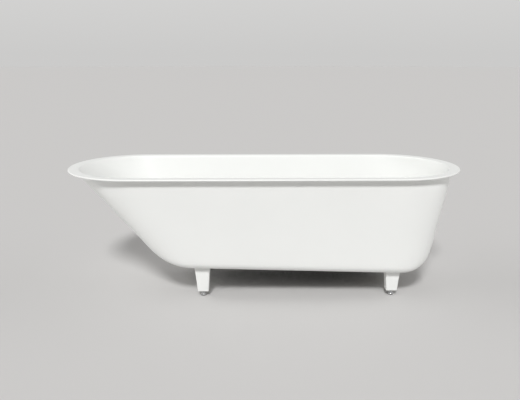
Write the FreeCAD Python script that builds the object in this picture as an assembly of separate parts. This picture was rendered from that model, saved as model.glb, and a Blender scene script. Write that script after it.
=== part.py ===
import FreeCAD, Part
from FreeCAD import Vector
from math import cos, exp, pi, radians, sin, sqrt, tan
import os

# A free-standing bath of cast white mineral composite. One casting carries a thin flat rim,
# a long backrest at the head end (-X) and a steep wall at the drain end (+X).
# It stands on four tapered feet with screw glides, and empties through a push-button waste
# whose outlet tube leaves at the back (+Y). The front of the bath faces -Y.
# Millimetres throughout. The origin is on the floor, under the middle of the rim.

# The rim, a flat flange with half ellipses for ends
RIM_LENGTH = 1780.0
RIM_WIDTH = 760.0
RIM_HEIGHT = 556.0
RIM_END_REACH = 318.0
FLANGE_THICK = 8.0
FLANGE_EDGE_ROUND = 3.6
FLANGE_COVE = 9.0
MOUTH_ROUND = 6.0

# The outer skin of the basin. Depths count down from the top of the rim.
BASIN_DEPTH = 425.0
FLOOR_FALL = tan(radians(1.594))
HEAD_REACH = 858.0
HEAD_LEAN = radians(40.2)
HEAD_BEND = 209.0
DRAIN_REACH = 855.5
DRAIN_LEAN = radians(13.3)
DRAIN_BEND = 109.0
SIDE_REACH = 347.0
SIDE_LEAN = radians(9.4)
SIDE_BEND = 38.0
END_CURVE_TOP = 284.0
HEAD_CURVE_BOTTOM = 156.5
DRAIN_CURVE_BOTTOM = 155.5

# The ends are half ellipses at the rim. Below it their corners fill out and their middles draw in.
ELLIPSE_WEIGHT = sqrt(0.5)
HEAD_WEIGHT = 1.5
DRAIN_WEIGHT = 1.3
HEAD_DRAW = 31.0
DRAIN_DRAW = 13.5
FILL_DEPTH = 80.0

WALL = 14.0
FLOOR_THICK = 18.0

# How the skin is cut into levels: widening steps down the walls, then even turns round the bend
WALL_LEVELS = 6
BEND_BAND = 180.0
BEND_LEVELS = 8

# Feet: tapered blocks, narrower at the bottom, that lean out more on their outer sides
FOOT_HEAD_X = -274.5
FOOT_DRAIN_X = 565.5
FOOT_Y = 197.5
FOOT_LIFT = 23.0
FOOT_BOTTOM_X = 48.0
FOOT_BOTTOM_Y = 47.0
FOOT_TAPER_HEIGHT = 111.0
FOOT_BLOCK_HEIGHT = 150.0
FOOT_OUTER_SPREAD = 12.0
FOOT_INNER_SPREAD = 7.0
FOOT_CORNER_ROUND = 5.0
FOOT_SOLE_ROUND = 2.5

# Two socket screws hold each foot to threaded inserts in the floor of the bath
SCREW_OFFSET = 11.5
SCREW_R = 4.0
SCREW_HEAD_R = 6.5
SCREW_HEAD_HEIGHT = 8.0
SCREW_KEY_ACROSS = 6.0
SCREW_KEY_DEPTH = 4.0
SCREW_EDGE = 0.6
SCREW_GRIP = 25.0
SCREW_BITE = 10.5
SCREW_HOLE_R = 4.5
COUNTERBORE_R = 7.5
WASHER_R = 7.2
WASHER_THICK = 1.6
INSERT_R = 5.75
INSERT_LENGTH = 11.5
INSERT_SINK = 0.3
THREAD_GAP = 0.06

# Glides: a threaded stem on a domed steel cup with a rubber pad
GLIDE_STEM_R = 4.0
GLIDE_STEM_TOP = 58.0
GLIDE_STEM_EDGE = 0.8
GLIDE_HOLE_R = 4.75
GLIDE_HOLE_TOP = 74.0
GLIDE_INSERT_R = 6.0
GLIDE_INSERT_LENGTH = 20.0
GLIDE_HEX_ACROSS = 10.0
GLIDE_HEX_HEIGHT = 4.0
CUP_R = 12.5
CUP_BOTTOM = 3.5
CUP_TOP = 9.5
CUP_ROUND = 4.5
PAD_R = 12.0
PAD_SPIGOT_R = 6.0
PAD_SPIGOT = 2.0
PAD_SPIGOT_FIT = 0.1
PAD_BEVEL = 1.0

# Waste: a dished flange screws down through the floor into an elbow and clamps the floor.
# The casting has a level seat above and a level boss below, since its floor slopes.
WASTE_X = 500.0
WASTE_HOLE_R = 29.0
SEAT_R = 39.0
SEAT_SINK = 2.5
BOSS_R = 45.0
BOSS_DROP = 3.0
SEAL_R = 36.5
SEAL_BORE_R = 29.5
SEAL_THICK = 1.5
LIP_R = 37.0
LIP_EDGE = 1.2
LIP_CREST_R = 33.0
LIP_THICK = 3.0
DISH_R = 29.0
DISH_DEPTH = 5.0
DISH_WALL = 2.0
DISH_OUTER_R = 28.0
PLUG_SEAT_R = 24.0
THROAT_R = 19.5
TUBE_R = 22.0
TUBE_DROP = 34.0
BAR_LENGTH = 40.0
BAR_WIDTH = 4.0
BAR_HEIGHT = 4.0
HUB_R = 7.0
GASKET_THICK = 3.0
GASKET_R = 35.0
GASKET_BORE_R = 24.0

# Elbow under the floor, and the tube that carries the water out at the back
COLLAR_R = 36.0
COLLAR_THICK = 5.0
ELBOW_R = 27.0
ELBOW_ROUND = 9.0
BRANCH_DROP = 35.0
BRANCH_R = 23.5
BRANCH_END = 62.0
SUMP_DEPTH = 2.0
OUTLET_R = 19.0
OUTLET_WALL = 2.0
OUTLET_START = 26.0
OUTLET_END = 330.0
OUTLET_FIT = 0.2
OUTLET_PUSH_IN = 40.0
OUTLET_MARK_WIDTH = 2.4
OUTLET_MARK_DEPTH = 0.4
WASHER_RING_R = 23.0
WASHER_RING_LENGTH = 6.0
NUT_R = 28.0
NUT_START = 46.0
NUT_LIP = 4.0
NUT_RIBS = 12
NUT_RIB_R = 2.5
NUT_RIB_BITE = 1.0

# Push-button plug: press to latch it shut, press again and its spring lifts it
PLUG_STROKE = 10.0
PLUG_R = 30.0
PLUG_GAP = 0.6
PLUG_CROWN = 2.9
PLUG_EDGE = 1.6
PLUG_SKIRT_R = 23.5
PLUG_HOLLOW_R = 16.0
PLUG_SEAL_BORE_R = 17.0
PLUG_SEAL_THICK = 2.5
PLUG_SEAL_GAP = 0.2
HOUSING_R = 9.0
HOUSING_BORE_R = 6.5
HOUSING_FLOOR = 2.0
HOUSING_STUD = 5.0
PLUNGER_R = 4.0
PLUNGER_FOOT_R = 6.2
PLUNGER_FOOT_THICK = 2.5
PLUNGER_TIP_R = 2.5
PLUNGER_TIP = 2.5
CAM_THICK = 4.0
CAM_BORE_R = 4.3
CAM_TEETH = 4
CAM_TOOTH_DEPTH = 1.5
CAM_TOOTH_WIDTH = 2.4
GLAND_GAP = 1.0
GLAND_THICK = 2.5
SPRING_LENGTH = 7.5
SPRING_TURNS = 5
SPRING_R = 5.2
SPRING_WIRE_R = 0.45

# How far a cut runs past the face that it opens, and how near two heights are to be the same
CUT_PAST = 1.0
SAME_HEIGHT = 0.01

UP = Vector(0, 0, 1)
BACK = Vector(0, 1, 0)


def save(name, shape):
    """Write one piece to its own file."""
    shape.exportStep("parts/" + name + ".step")


def rod(radius, low, high, x, y):
    """An upright round bar."""
    return Part.makeCylinder(radius, high - low, Vector(x, y, low))


def ring(outer, inner, low, high, x, y):
    """An upright tube or washer."""
    return rod(outer, low, high, x, y).cut(rod(inner, low, high, x, y))


def lying_ring(outer, inner, start, end):
    """A tube or washer lying along Y on the axis of the outlet."""
    centre = Vector(WASTE_X, start, BRANCH_Z)
    tube = Part.makeCylinder(outer, end - start, centre, BACK)
    return tube.cut(Part.makeCylinder(inner, end - start, centre, BACK))


def turned(profile):
    """Turn a closed outline of radius and height about the axis of the waste."""
    points = [Vector(WASTE_X + radius, 0, height) for radius, height in profile]
    face = Part.Face(Part.makePolygon(points + points[:1]))
    return face.revolve(Vector(WASTE_X, 0, 0), UP, 360)


def hexagon(across, low, high, x, y):
    """An upright hexagonal prism, measured across its flats."""
    corner = across / sqrt(3)
    angles = [radians(60 * side) for side in range(7)]
    points = [Vector(x + corner * cos(a), y + corner * sin(a), low) for a in angles]
    return Part.Face(Part.makePolygon(points)).extrude(UP * (high - low))


def underside(x):
    """Height of the outside of the floor, which falls towards the drain."""
    return RIM_HEIGHT - BASIN_DEPTH - FLOOR_FALL * x


# The bath itself

def wall_at(reach, lean, bend, floor_depth, depth):
    """Distance of a leaning wall from the middle, and how much its bottom bend draws it in."""
    bend_depth = floor_depth - bend
    bend_middle = reach - tan(lean) * bend_depth - bend / cos(lean)
    straight = reach - tan(lean) * depth
    if depth <= bend_depth + bend * sin(lean):
        return straight, 0.0
    drop = min(depth - bend_depth, bend)
    distance = bend_middle + sqrt(bend ** 2 - drop ** 2)
    return distance, straight - distance


def level_outline(head_end, drain_end, side, height, fall):
    """Closed outline at one level: two straight sides, and ends of two rounded corners each.

    An end is its distance from the middle, the length of its corners along X and their weight,
    which is how far they fill out.
    """
    def spot(x, y):
        return Vector(x, y, height - fall * x)

    def corner(end, way, y):
        distance, length, weight = end
        curve = Part.BezierCurve()
        curve.setPoles([spot(way * distance, 0), spot(way * distance, y), spot(way * (distance - length), y)])
        curve.setWeight(2, weight)
        return curve.toShape()

    edges = []
    for y in (side, -side):
        edges += [corner(head_end, -1, y), corner(drain_end, 1, y)]
        edges.append(Part.makeLine(edges[-2].Vertexes[-1].Point, edges[-1].Vertexes[-1].Point))
    return Part.Wire(Part.__sortEdges__(edges))


def skin_outline(depth, inset, floor_depth):
    """Outline of the basin's skin at a depth, drawn in by the wall where it is the inside."""
    head, head_drawn = wall_at(
        HEAD_REACH - inset / cos(HEAD_LEAN), HEAD_LEAN, HEAD_BEND - inset, floor_depth, depth)
    drain, drain_drawn = wall_at(
        DRAIN_REACH - inset / cos(DRAIN_LEAN), DRAIN_LEAN, DRAIN_BEND - inset, floor_depth, depth)
    side, _ = wall_at(
        SIDE_REACH - inset / cos(SIDE_LEAN), SIDE_LEAN, SIDE_BEND - inset, floor_depth, depth)
    below_rim = max(0.0, depth - FLANGE_THICK)
    share = below_rim / (BASIN_DEPTH - FLANGE_THICK)
    filled = 1 - exp(-below_rim / FILL_DEPTH)
    head_end = (
        head - HEAD_DRAW * filled,
        END_CURVE_TOP + (HEAD_CURVE_BOTTOM - END_CURVE_TOP) * share - inset - head_drawn,
        ELLIPSE_WEIGHT + (HEAD_WEIGHT - ELLIPSE_WEIGHT) * filled)
    drain_end = (
        drain - DRAIN_DRAW * filled,
        END_CURVE_TOP + (DRAIN_CURVE_BOTTOM - END_CURVE_TOP) * share - inset - drain_drawn,
        ELLIPSE_WEIGHT + (DRAIN_WEIGHT - ELLIPSE_WEIGHT) * filled)
    return level_outline(head_end, drain_end, side, RIM_HEIGHT - depth, FLOOR_FALL * share)


def skin(top_depth, floor_depth, inset):
    """Solid of everything inside one skin, from a level near the rim down to its floor."""
    bend_top = floor_depth - BEND_BAND
    steps = [(step / WALL_LEVELS) ** 1.5 for step in range(WALL_LEVELS)]
    depths = [top_depth + (bend_top - top_depth) * step for step in steps]
    turns = [pi / 2 * step / BEND_LEVELS for step in range(BEND_LEVELS + 1)]
    depths += [bend_top + BEND_BAND * sin(turn) for turn in turns]
    return Part.makeLoft([skin_outline(depth, inset, floor_depth) for depth in depths], True, False)


def basin_edges(shape, height):
    """The edges that lie level at one height, no further out than the basin's walls."""
    def lies_there(edge):
        box = edge.BoundBox
        level = max(abs(box.ZMin - height), abs(box.ZMax - height)) < SAME_HEIGHT
        return level and max(-box.YMin, box.YMax) < SIDE_REACH and max(-box.XMin, box.XMax) < HEAD_REACH
    return [edge for edge in shape.Edges if lies_there(edge)]


def make_flange():
    """The flat rim, with a fully rounded outer edge."""
    end = (RIM_LENGTH / 2, RIM_END_REACH, ELLIPSE_WEIGHT)
    outline = level_outline(end, end, RIM_WIDTH / 2, RIM_HEIGHT, 0.0)
    plate = Part.Face(outline).extrude(UP * -FLANGE_THICK)
    level = [e for e in plate.Edges if e.BoundBox.ZLength < SAME_HEIGHT]
    return plate.makeFillet(FLANGE_EDGE_ROUND, level)


def foot_places():
    """Name, place and outward direction of each foot."""
    places = []
    for end, x, out_x in (("head", FOOT_HEAD_X, -1), ("drain", FOOT_DRAIN_X, 1)):
        for side, y, out_y in (("front", -FOOT_Y, -1), ("rear", FOOT_Y, 1)):
            places.append((end + "_" + side, x, y, out_x, out_y))
    return places


def screw_places(x, y):
    """The two screws of a foot stand on one diagonal."""
    return [(x - SCREW_OFFSET, y - SCREW_OFFSET), (x + SCREW_OFFSET, y + SCREW_OFFSET)]


def heights_of_waste():
    """Levels of the waste, from the two level faces of the casting that it clamps."""
    seat = underside(WASTE_X) + FLOOR_THICK - SEAT_SINK
    boss = underside(WASTE_X) - BOSS_DROP
    return seat, boss


SEAT_Z, BOSS_Z = heights_of_waste()
LIP_Z = SEAT_Z + SEAL_THICK
CREST_Z = LIP_Z + LIP_THICK
PLUG_SEAT_Z = CREST_Z - DISH_DEPTH
TUBE_END_Z = SEAT_Z - TUBE_DROP
COLLAR_Z = BOSS_Z - GASKET_THICK
BRANCH_Z = BOSS_Z - BRANCH_DROP
HOUSING_Z = TUBE_END_Z + BAR_HEIGHT
SPRING_Z = HOUSING_Z + HOUSING_FLOOR
PLUNGER_Z = SPRING_Z + SPRING_LENGTH
CAM_Z = PLUNGER_Z + PLUNGER_FOOT_THICK
GLAND_Z = CAM_Z + CAM_THICK + PLUG_STROKE + GLAND_GAP
PLUG_SEAL_Z = PLUG_SEAT_Z + PLUG_SEAL_GAP
SKIRT_Z = PLUG_SEAL_Z + PLUG_SEAL_THICK
CAP_Z = CREST_Z + PLUG_GAP
NUT_END = BRANCH_END + WASHER_RING_LENGTH + NUT_LIP


def make_tub():
    """The casting: rim and outer skin, hollowed by the inner skin, with its holes."""
    tub = skin(FLANGE_THICK, BASIN_DEPTH, 0.0).fuse(make_flange())
    tub = tub.makeFillet(FLANGE_COVE, basin_edges(tub, RIM_HEIGHT - FLANGE_THICK))
    tub = tub.fuse(rod(BOSS_R, BOSS_Z, BOSS_Z + FLOOR_THICK / 2, WASTE_X, 0))
    tub = tub.cut(skin(0.0, BASIN_DEPTH - FLOOR_THICK, WALL))
    tub = tub.makeFillet(MOUTH_ROUND, basin_edges(tub, RIM_HEIGHT))
    tub = tub.cut(rod(WASTE_HOLE_R, BOSS_Z, SEAT_Z, WASTE_X, 0))
    tub = tub.cut(rod(SEAT_R, SEAT_Z, SEAT_Z + FLOOR_THICK, WASTE_X, 0))
    for _, foot_x, foot_y, _, _ in foot_places():
        for x, y in screw_places(foot_x, foot_y):
            tub = tub.cut(rod(INSERT_R, underside(x) - CUT_PAST, underside(x) + INSERT_LENGTH, x, y))
    return tub.Solids[0]


# Feet and what fastens them

def foot_outline(height, x, y, out_x, out_y):
    """Rectangle of a foot at one height, spreading more on its two outer sides."""
    rise = (height - FOOT_LIFT) / FOOT_TAPER_HEIGHT
    outer = FOOT_OUTER_SPREAD * rise
    inner = FOOT_INNER_SPREAD * rise
    reach_x = FOOT_BOTTOM_X / 2
    reach_y = FOOT_BOTTOM_Y / 2
    x_sides = (x + out_x * (reach_x + outer), x - out_x * (reach_x + inner))
    y_sides = (y + out_y * (reach_y + outer), y - out_y * (reach_y + inner))
    corners = [(x_sides[0], y_sides[0]), (x_sides[1], y_sides[0]),
               (x_sides[1], y_sides[1]), (x_sides[0], y_sides[1]), (x_sides[0], y_sides[0])]
    return Part.makePolygon([Vector(corner_x, corner_y, height) for corner_x, corner_y in corners])


def above_underside():
    """Everything over the sloping underside of the bath, to trim the feet to it."""
    low, high = -RIM_LENGTH / 2, RIM_LENGTH / 2
    side = [Vector(low, -RIM_WIDTH / 2, underside(low)), Vector(high, -RIM_WIDTH / 2, underside(high)),
            Vector(high, -RIM_WIDTH / 2, RIM_HEIGHT), Vector(low, -RIM_WIDTH / 2, RIM_HEIGHT)]
    return Part.Face(Part.makePolygon(side + side[:1])).extrude(BACK * RIM_WIDTH)


def make_foot(x, y, out_x, out_y):
    """One cast foot: a tapered block with two screw holes and a hole for its glide."""
    levels = (FOOT_LIFT, FOOT_LIFT + FOOT_BLOCK_HEIGHT)
    block = Part.makeLoft([foot_outline(level, x, y, out_x, out_y) for level in levels], True, True)
    corners = [e for e in block.Edges if e.BoundBox.ZLength > FOOT_BLOCK_HEIGHT / 2]
    block = block.makeFillet(FOOT_CORNER_ROUND, corners)
    sole = [e for e in block.Edges if e.BoundBox.ZMax < FOOT_LIFT + SAME_HEIGHT]
    block = block.makeFillet(FOOT_SOLE_ROUND, sole).cut(above_underside())
    for screw_x, screw_y in screw_places(x, y):
        shoulder = underside(screw_x) - SCREW_GRIP
        block = block.cut(rod(COUNTERBORE_R, FOOT_LIFT, shoulder, screw_x, screw_y))
        block = block.cut(rod(SCREW_HOLE_R, shoulder, RIM_HEIGHT, screw_x, screw_y))
    block = block.cut(rod(GLIDE_HOLE_R, FOOT_LIFT, GLIDE_HOLE_TOP, x, y))
    return block.cut(rod(GLIDE_INSERT_R, FOOT_LIFT, FOOT_LIFT + GLIDE_INSERT_LENGTH, x, y)).Solids[0]


def make_foot_screw(x, y):
    """Socket screw, put in from below."""
    bearing = underside(x) - SCREW_GRIP - WASHER_THICK
    end = bearing - SCREW_HEAD_HEIGHT
    head = rod(SCREW_HEAD_R, end, bearing, x, y)
    head = head.makeChamfer(SCREW_EDGE, [e for e in head.Edges if e.BoundBox.ZMax < end + SAME_HEIGHT])
    socket = hexagon(SCREW_KEY_ACROSS, end, end + SCREW_KEY_DEPTH, x, y)
    return head.cut(socket).fuse(rod(SCREW_R, bearing, underside(x) + SCREW_BITE, x, y))


def make_foot_washer(x, y):
    """Flat washer under a foot screw's head."""
    top = underside(x) - SCREW_GRIP
    return ring(WASHER_R, SCREW_HOLE_R, top - WASHER_THICK, top, x, y)


def make_foot_insert(x, y):
    """Threaded brass insert bonded in the floor of the bath."""
    low = underside(x) + INSERT_SINK
    return ring(INSERT_R, SCREW_R + THREAD_GAP, low, underside(x) + INSERT_LENGTH, x, y)


def make_glide_insert(x, y):
    """Threaded insert in the sole of a foot."""
    return ring(GLIDE_INSERT_R, GLIDE_STEM_R + THREAD_GAP, FOOT_LIFT, FOOT_LIFT + GLIDE_INSERT_LENGTH, x, y)


def make_glide(x, y):
    """Levelling glide: threaded stem, hexagon for the spanner and domed cup in one piece."""
    cup = rod(CUP_R, CUP_BOTTOM, CUP_TOP, x, y)
    cup = cup.makeFillet(CUP_ROUND, [e for e in cup.Edges if e.BoundBox.ZMin > CUP_TOP - SAME_HEIGHT])
    socket_top = CUP_BOTTOM + PAD_SPIGOT + PAD_SPIGOT_FIT
    cup = cup.cut(rod(PAD_SPIGOT_R + PAD_SPIGOT_FIT, CUP_BOTTOM, socket_top, x, y))
    hexagon_top = CUP_TOP + GLIDE_HEX_HEIGHT
    stem = rod(GLIDE_STEM_R, hexagon_top, GLIDE_STEM_TOP, x, y)
    end = [e for e in stem.Edges if e.BoundBox.ZMin > GLIDE_STEM_TOP - SAME_HEIGHT]
    stem = stem.makeChamfer(GLIDE_STEM_EDGE, end)
    return cup.fuse([hexagon(GLIDE_HEX_ACROSS, CUP_TOP, hexagon_top, x, y), stem])


def make_glide_pad(x, y):
    """Rubber pad pressed into the cup, bevelled where it meets the floor."""
    pad = rod(PAD_R, 0.0, CUP_BOTTOM, x, y)
    pad = pad.makeChamfer(PAD_BEVEL, [e for e in pad.Edges if e.BoundBox.ZMax < SAME_HEIGHT])
    return pad.fuse(rod(PAD_SPIGOT_R, CUP_BOTTOM, CUP_BOTTOM + PAD_SPIGOT, x, y))


# The waste: what the floor of the bath is clamped between

def make_drain_flange():
    """Dished flange and threaded tube in one piece, with a cross of bars that holds the plug."""
    body = turned([
        (LIP_R, LIP_Z), (LIP_R, LIP_Z + LIP_EDGE), (LIP_CREST_R, CREST_Z), (DISH_R, CREST_Z),
        (PLUG_SEAT_R, PLUG_SEAT_Z), (THROAT_R, PLUG_SEAT_Z), (THROAT_R, TUBE_END_Z), (TUBE_R, TUBE_END_Z),
        (TUBE_R, PLUG_SEAT_Z - DISH_WALL), (PLUG_SEAT_R, PLUG_SEAT_Z - DISH_WALL),
        (DISH_OUTER_R, LIP_Z - DISH_WALL), (DISH_OUTER_R, LIP_Z)])
    for length_x, length_y in ((BAR_LENGTH, BAR_WIDTH), (BAR_WIDTH, BAR_LENGTH)):
        corner = Vector(WASTE_X - length_x / 2, -length_y / 2, TUBE_END_Z)
        body = body.fuse(Part.makeBox(length_x, length_y, BAR_HEIGHT, corner))
    body = body.fuse(rod(HUB_R, TUBE_END_Z, HOUSING_Z, WASTE_X, 0))
    return body.cut(rod(PLUNGER_R + THREAD_GAP, TUBE_END_Z, HOUSING_Z, WASTE_X, 0))


def make_drain_elbow():
    """Elbow with a collar that presses the gasket up, a threaded branch and a shallow sump below it."""
    bottom = BRANCH_Z - BRANCH_R - SUMP_DEPTH
    well = rod(ELBOW_R, bottom, COLLAR_Z, WASTE_X, 0)
    well = well.makeFillet(ELBOW_ROUND, [e for e in well.Edges if e.BoundBox.ZMax < bottom + SAME_HEIGHT])
    collar = rod(COLLAR_R, COLLAR_Z - COLLAR_THICK, COLLAR_Z, WASTE_X, 0)
    branch = Part.makeCylinder(BRANCH_R, BRANCH_END, Vector(WASTE_X, 0, BRANCH_Z), BACK)
    bore = OUTLET_R + OUTLET_FIT
    elbow = well.fuse([collar, branch])
    elbow = elbow.cut(rod(TUBE_R + THREAD_GAP, BRANCH_Z - bore - SUMP_DEPTH, COLLAR_Z, WASTE_X, 0))
    return elbow.cut(Part.makeCylinder(bore, BRANCH_END, Vector(WASTE_X, 0, BRANCH_Z), BACK))


def make_outlet_tube():
    """Outlet tube, with a pressed mark up to which it goes into the fitting that takes it."""
    tube = lying_ring(OUTLET_R, OUTLET_R - OUTLET_WALL, OUTLET_START, OUTLET_END)
    mark_end = OUTLET_END - OUTLET_PUSH_IN
    mark_r = OUTLET_R - OUTLET_MARK_DEPTH
    return tube.cut(lying_ring(OUTLET_R + CUT_PAST, mark_r, mark_end - OUTLET_MARK_WIDTH, mark_end))


def make_outlet_nut():
    """Ribbed hand nut that squeezes the washer onto the outlet tube."""
    lip_start = NUT_END - NUT_LIP
    nut = lying_ring(NUT_R, BRANCH_R + THREAD_GAP, NUT_START, lip_start)
    nut = nut.fuse(lying_ring(NUT_R, OUTLET_R + OUTLET_FIT, lip_start, NUT_END))
    rib_length = NUT_END - NUT_START
    for rib in range(NUT_RIBS):
        angle = 2 * pi * rib / NUT_RIBS
        centre = Vector(WASTE_X + NUT_R * cos(angle), NUT_START, BRANCH_Z + NUT_R * sin(angle))
        outside = Part.makeCylinder(NUT_RIB_R, rib_length, centre, BACK)
        nut = nut.fuse(outside.cut(Part.makeCylinder(
            NUT_R - NUT_RIB_BITE, rib_length, Vector(WASTE_X, NUT_START, BRANCH_Z), BACK)))
    return nut


# The push-button plug

def make_plug_cap():
    """Crowned cap that covers the flange, hollow below, with a skirt for its seal."""
    edge_z = CAP_Z + PLUG_EDGE
    top_z = edge_z + PLUG_CROWN
    crown_r = (PLUG_R ** 2 + PLUG_CROWN ** 2) / (2 * PLUG_CROWN)
    halfway_z = top_z - crown_r + sqrt(crown_r ** 2 - (PLUG_R / 2) ** 2)
    outline = [(0, CAP_Z), (PLUG_HOLLOW_R, CAP_Z), (PLUG_HOLLOW_R, SKIRT_Z), (PLUG_SKIRT_R, SKIRT_Z),
               (PLUG_SKIRT_R, CAP_Z), (PLUG_R, CAP_Z), (PLUG_R, edge_z)]
    points = [Vector(WASTE_X + radius, 0, height) for radius, height in outline]
    middle = Vector(WASTE_X, 0, top_z)
    crown = Part.Arc(points[-1], Vector(WASTE_X + PLUG_R / 2, 0, halfway_z), middle)
    axis = Part.LineSegment(middle, points[0])
    wire = Part.Wire(Part.makePolygon(points).Edges + [crown.toShape(), axis.toShape()])
    cap = Part.Face(wire).revolve(Vector(WASTE_X, 0, 0), UP, 360)
    return cap.cut(rod(PLUNGER_TIP_R, CAP_Z, CAP_Z + PLUNGER_TIP, WASTE_X, 0))


def make_plunger():
    """Rod that hangs from the cap, with a foot that the spring pushes up."""
    foot = rod(PLUNGER_FOOT_R, PLUNGER_Z, CAM_Z, WASTE_X, 0)
    stem = rod(PLUNGER_R, CAM_Z, CAP_Z, WASTE_X, 0)
    return foot.fuse([stem, rod(PLUNGER_TIP_R, CAP_Z, CAP_Z + PLUNGER_TIP, WASTE_X, 0)])


def make_click_cam():
    """Toothed ring on the plunger: each press turns it to the next tooth."""
    cam = ring(PLUNGER_FOOT_R, CAM_BORE_R, CAM_Z, CAM_Z + CAM_THICK, WASTE_X, 0)
    top = CAM_Z + CAM_THICK
    notch = [Vector(WASTE_X, -CAM_TOOTH_WIDTH, top), Vector(WASTE_X, CAM_TOOTH_WIDTH, top),
             Vector(WASTE_X, CAM_TOOTH_WIDTH, top - CAM_TOOTH_DEPTH)]
    wedge = Part.Face(Part.makePolygon(notch + notch[:1])).extrude(Vector(PLUNGER_FOOT_R + CUT_PAST, 0, 0))
    for tooth in range(CAM_TEETH):
        turned_wedge = wedge.copy()
        turned_wedge.rotate(Vector(WASTE_X, 0, 0), UP, 360.0 * tooth / CAM_TEETH)
        cam = cam.cut(turned_wedge)
    return cam


def make_click_housing():
    """Fixed barrel that screws into the cross of bars and guides the plunger."""
    barrel = rod(HOUSING_R, HOUSING_Z, GLAND_Z, WASTE_X, 0)
    stud = rod(PLUNGER_R, HOUSING_Z - HOUSING_STUD, HOUSING_Z, WASTE_X, 0)
    return barrel.cut(rod(HOUSING_BORE_R, SPRING_Z, GLAND_Z, WASTE_X, 0)).fuse(stud)


def arc_from(start, corner, end):
    """Arc between two points, whose tangents at both of them meet in the corner."""
    middle = (start + end) * 0.5
    flatness = (middle - start).Length / (corner - start).Length
    through = middle + (corner - middle) * (flatness / (1 + flatness))
    return Part.Arc(start, through, end).toShape()


def two_arcs(start, along, end, onward):
    """Two arcs that join smoothly and follow the given directions at both ends."""
    way = end - start
    both = along + onward
    turn = 2 * (along.dot(onward) - 1)
    reach = (way.dot(both) - sqrt(way.dot(both) ** 2 - turn * way.dot(way))) / turn
    first_corner = start + along * reach
    last_corner = end - onward * reach
    joint = (first_corner + last_corner) * 0.5
    return [arc_from(start, first_corner, joint), arc_from(joint, last_corner, end)]


def on_spring(turn):
    """Point and direction of the spring's wire after a number of turns."""
    pitch = (SPRING_LENGTH - 2 * SPRING_WIRE_R) / SPRING_TURNS
    angle = 2 * pi * turn
    height = SPRING_Z + SPRING_WIRE_R + pitch * turn
    spot = Vector(WASTE_X + SPRING_R * cos(angle), SPRING_R * sin(angle), height)
    along = Vector(-2 * pi * SPRING_R * sin(angle), 2 * pi * SPRING_R * cos(angle), pitch)
    return spot, along.normalize()


def make_spring():
    """Coil spring under the plunger, shown squeezed, as it is while the plug is shut."""
    edges = []
    for step in range(2 * SPRING_TURNS):
        edges += two_arcs(*on_spring(step / 2), *on_spring((step + 1) / 2))
    start, along = on_spring(0)
    section = Part.Wire(Part.makeCircle(SPRING_WIRE_R, start, along))
    return Part.Wire(edges).makePipeShell([section], True, False)


os.makedirs("parts", exist_ok=True)

save("tub_shell", make_tub())

for place, x, y, out_x, out_y in foot_places():
    save("foot_" + place, make_foot(x, y, out_x, out_y))
    save("glide_" + place, make_glide(x, y))
    save("glide_pad_" + place, make_glide_pad(x, y))

FEET = [(x, y) for _, x, y, _, _ in foot_places()]
SCREWS = [screw for x, y in FEET for screw in screw_places(x, y)]
save("foot_screws", Part.makeCompound([make_foot_screw(x, y) for x, y in SCREWS]))
save("foot_washers", Part.makeCompound([make_foot_washer(x, y) for x, y in SCREWS]))
save("foot_inserts", Part.makeCompound([make_foot_insert(x, y) for x, y in SCREWS]))
save("glide_inserts", Part.makeCompound([make_glide_insert(x, y) for x, y in FEET]))

save("drain_flange", make_drain_flange())
save("drain_flange_seal", ring(SEAL_R, SEAL_BORE_R, SEAT_Z, LIP_Z, WASTE_X, 0))
save("drain_gasket", ring(GASKET_R, GASKET_BORE_R, COLLAR_Z, BOSS_Z, WASTE_X, 0))
save("drain_elbow", make_drain_elbow())
save("outlet_tube", make_outlet_tube())
save("outlet_washer", lying_ring(WASHER_RING_R, OUTLET_R, BRANCH_END, BRANCH_END + WASHER_RING_LENGTH))
save("outlet_nut", make_outlet_nut())

save("plug_cap", make_plug_cap())
save("plug_seal", ring(PLUG_SKIRT_R, PLUG_SEAL_BORE_R, PLUG_SEAL_Z, SKIRT_Z, WASTE_X, 0))
save("plug_plunger", make_plunger())
save("click_cam", make_click_cam())
save("click_housing", make_click_housing())
save("click_gland", ring(HOUSING_R, PLUNGER_R + THREAD_GAP, GLAND_Z, GLAND_Z + GLAND_THICK, WASTE_X, 0))
save("click_spring", make_spring())
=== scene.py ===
from collections import namedtuple
from math import atan, cos, exp, pi, radians, sin, sqrt, tan

import bmesh
import bpy
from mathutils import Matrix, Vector


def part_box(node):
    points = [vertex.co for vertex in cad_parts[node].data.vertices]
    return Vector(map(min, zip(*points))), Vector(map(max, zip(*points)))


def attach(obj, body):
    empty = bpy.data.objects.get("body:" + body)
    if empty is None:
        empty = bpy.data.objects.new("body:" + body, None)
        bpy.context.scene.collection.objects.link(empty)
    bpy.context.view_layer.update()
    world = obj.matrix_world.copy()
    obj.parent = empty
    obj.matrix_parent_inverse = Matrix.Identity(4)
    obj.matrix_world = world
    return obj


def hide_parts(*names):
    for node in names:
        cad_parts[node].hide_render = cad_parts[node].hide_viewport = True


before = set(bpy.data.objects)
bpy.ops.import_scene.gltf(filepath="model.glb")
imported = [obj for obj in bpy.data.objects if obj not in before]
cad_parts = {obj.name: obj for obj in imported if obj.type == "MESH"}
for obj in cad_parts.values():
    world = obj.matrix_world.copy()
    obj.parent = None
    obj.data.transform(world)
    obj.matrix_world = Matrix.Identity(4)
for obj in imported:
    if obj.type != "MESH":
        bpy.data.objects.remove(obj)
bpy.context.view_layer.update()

# The bath is one casting of mineral composite: a flat rim, thin walls and a floor that falls to the waste.
# It is cast over a polished mould, so its edges are round and only its underside is left rough. Its net of
# rings starts at the mouth, and goes out over the rim and down the skin, and from the mouth down the basin.

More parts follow.
